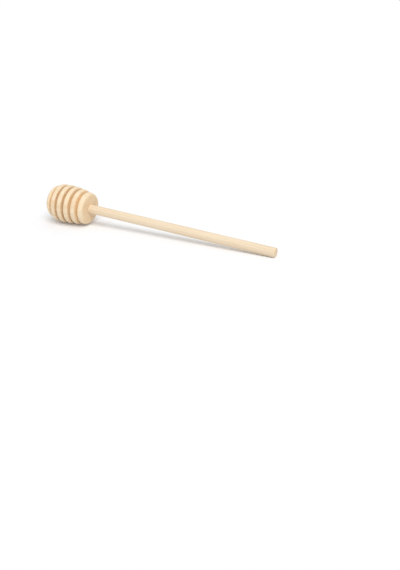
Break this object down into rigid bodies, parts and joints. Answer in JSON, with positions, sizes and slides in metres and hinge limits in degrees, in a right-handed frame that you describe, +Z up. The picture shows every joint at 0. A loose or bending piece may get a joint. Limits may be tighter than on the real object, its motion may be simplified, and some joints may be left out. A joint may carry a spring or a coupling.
{
  "type": "honey dipper",
  "caption": "Wooden honey dipper lying at rest: a barrel head with ring grooves that hold honey, glued on a long plain dowel handle.",
  "frame": {"origin": "middle of the footprint on the surface that the dipper lies on, below the middle of its bounding box", "axes": "+X from the head to the free end of the handle, +Z up, with the dipper's own axis sloping down by 3.70 degrees towards +X, as it lies at rest"},
  "size_m": [0.1602, 0.025, 0.025],
  "materials": {
    "head_wood": "bare pale beech, turned and sanded, matt",
    "handle_wood": "bare pale beech dowel, sanded, matt",
    "cured_glue": "cured wood glue, pale and slightly translucent"
  },
  "bodies": {
    "root": {"head": "head_wood", "handle": "handle_wood", "socket_glue": "cured_glue"}
  },
  "joints": []
}
